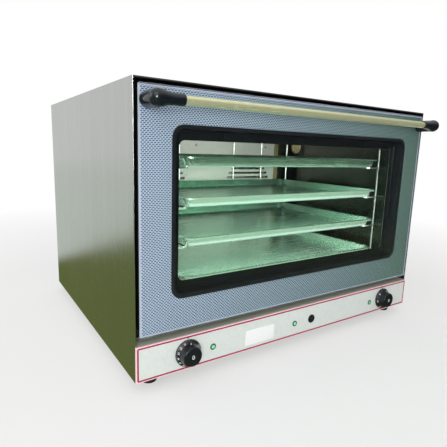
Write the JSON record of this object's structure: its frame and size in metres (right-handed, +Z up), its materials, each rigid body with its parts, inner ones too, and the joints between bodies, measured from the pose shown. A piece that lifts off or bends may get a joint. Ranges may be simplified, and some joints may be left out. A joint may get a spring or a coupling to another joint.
{
  "type": "convection steam oven",
  "caption": "Countertop convection steam oven with a bottom-hinged glass door, wire racks with trays, turning controls and rear fans.",
  "frame": {"origin": "middle of the footprint on the surface the feet stand on", "axes": "+X to the user's right, +Y to the back, +Z up; the door faces -Y"},
  "size_m": [0.834, 0.765, 0.572],
  "materials": {
    "stainless": "brushed stainless steel",
    "stainless_dark": "brushed stainless steel, heat toned",
    "galvanised": "galvanised sheet",
    "panel_paint": "pale printed panel",
    "frame_black": "black painted steel",
    "border_print": "fine printed pattern behind glass",
    "door_glass": "clear toughened glass",
    "lamp_glass": "warm lamp glass",
    "green_lens": "green lens",
    "black_plastic": "black moulded",
    "grey_plastic": "pale moulded",
    "rubber": "black rubber",
    "seal": "silicone seal",
    "tray_aluminium": "pressed aluminium",
    "wire": "chromed wire",
    "steel": "turned steel",
    "element": "heat-blued steel tube",
    "motor": "dark painted can",
    "brass": "turned brass",
    "copper": "drawn copper",
    "wool": "mineral wool"
  },
  "bodies": {
    "oven_casing": {"side_panel_left": "stainless", "side_panel_right": "stainless", "top_panel": "stainless", "base_pan": "galvanised", "rear_panel": "stainless", "rear_cover": "stainless", "front_frame": "stainless_dark", "control_panel": "panel_paint", "cavity_floor": "stainless_dark", "cavity_ceiling": "stainless_dark", "cavity_wall_left": "stainless_dark", "cavity_wall_right": "stainless_dark", "cavity_back": "stainless_dark", "insulation": "wool", "fan_baffle": "stainless", "tray_stop_wires": "wire", "side_racks": "wire", "heating_elements": "element", "fan_motors": "motor", "lamp_lens": "lamp_glass", "lamp_housing": "steel", "door_gasket": "seal", "hinge_brackets": "steel", "pilot_holders": "black_plastic", "pilot_lenses": "green_lens", "timer_body": "grey_plastic", "thermostat_body": "grey_plastic", "steam_switch": "black_plastic", "terminal_block": "grey_plastic", "steam_valve": "brass", "water_inlet": "brass", "water_pipe": "copper", "cable_gland": "black_plastic", "vent_pipe": "steel", "feet": "rubber", "casing_screws": "steel"},
    "door": {"door_outer_glass": "door_glass", "door_border_print": "border_print", "door_frame": "frame_black", "door_inner_panel": "stainless_dark", "door_inner_glass": "door_glass", "glass_clips": "steel", "handle_bar": "stainless", "handle_caps": "black_plastic", "hinge_lugs": "steel", "hinge_pins": "steel", "hinge_springs": "steel"},
    "timer": {"timer_knob": "black_plastic", "timer_spindle": "steel"},
    "thermostat": {"thermostat_knob": "black_plastic", "thermostat_spindle": "steel"},
    "button": {"steam_button": "black_plastic"},
    "left_fan": {"fan_wheel_left": "galvanised", "fan_shaft_left": "steel"},
    "right_fan": {"fan_wheel_right": "galvanised", "fan_shaft_right": "steel"},
    "tray_1_body": {"tray_1": "tray_aluminium"},
    "tray_2_body": {"tray_2": "tray_aluminium"},
    "tray_3_body": {"tray_3": "tray_aluminium"},
    "tray_4_body": {"tray_4": "tray_aluminium"}
  },
  "joints": [
    {"name": "door_hinge", "type": "hinge", "parent": "oven_casing", "child": "door", "pos_m": [0, -0.3145, 0.125], "axis": [1, 0, 0], "range_deg": [0, 90], "stiffness_Nm_per_rad": 6, "springref_deg": -20.05},
    {"name": "timer_turn", "type": "hinge", "parent": "oven_casing", "child": "timer", "pos_m": [-0.309, -0.3385, 0.059], "axis": [0, 1, 0], "range_deg": [0, 300]},
    {"name": "thermostat_turn", "type": "hinge", "parent": "oven_casing", "child": "thermostat", "pos_m": [0.309, -0.3385, 0.059], "axis": [0, 1, 0], "range_deg": [0, 300]},
    {"name": "button_press", "type": "slide", "parent": "oven_casing", "child": "button", "axis": [0, 1, 0], "range_m": [0, 0.003], "stiffness_N_per_m": 400, "springref_m": -0.002},
    {"name": "left_fan_spin", "type": "hinge", "parent": "oven_casing", "child": "left_fan", "pos_m": [-0.165, 0.1765, 0.337], "axis": [0, 1, 0], "continuous": true},
    {"name": "right_fan_spin", "type": "hinge", "parent": "oven_casing", "child": "right_fan", "pos_m": [0.165, 0.1765, 0.337], "axis": [0, 1, 0], "continuous": true},
    {"name": "tray_1_slide", "type": "slide", "parent": "oven_casing", "child": "tray_1_body", "axis": [0, -1, 0], "range_m": [-0.013, 0.008]},
    {"name": "tray_2_slide", "type": "slide", "parent": "oven_casing", "child": "tray_2_body", "axis": [0, -1, 0], "range_m": [-0.013, 0.008]},
    {"name": "tray_3_slide", "type": "slide", "parent": "oven_casing", "child": "tray_3_body", "axis": [0, -1, 0], "range_m": [-0.013, 0.008]},
    {"name": "tray_4_slide", "type": "slide", "parent": "oven_casing", "child": "tray_4_body", "axis": [0, -1, 0], "range_m": [-0.013, 0.008]}
  ]
}
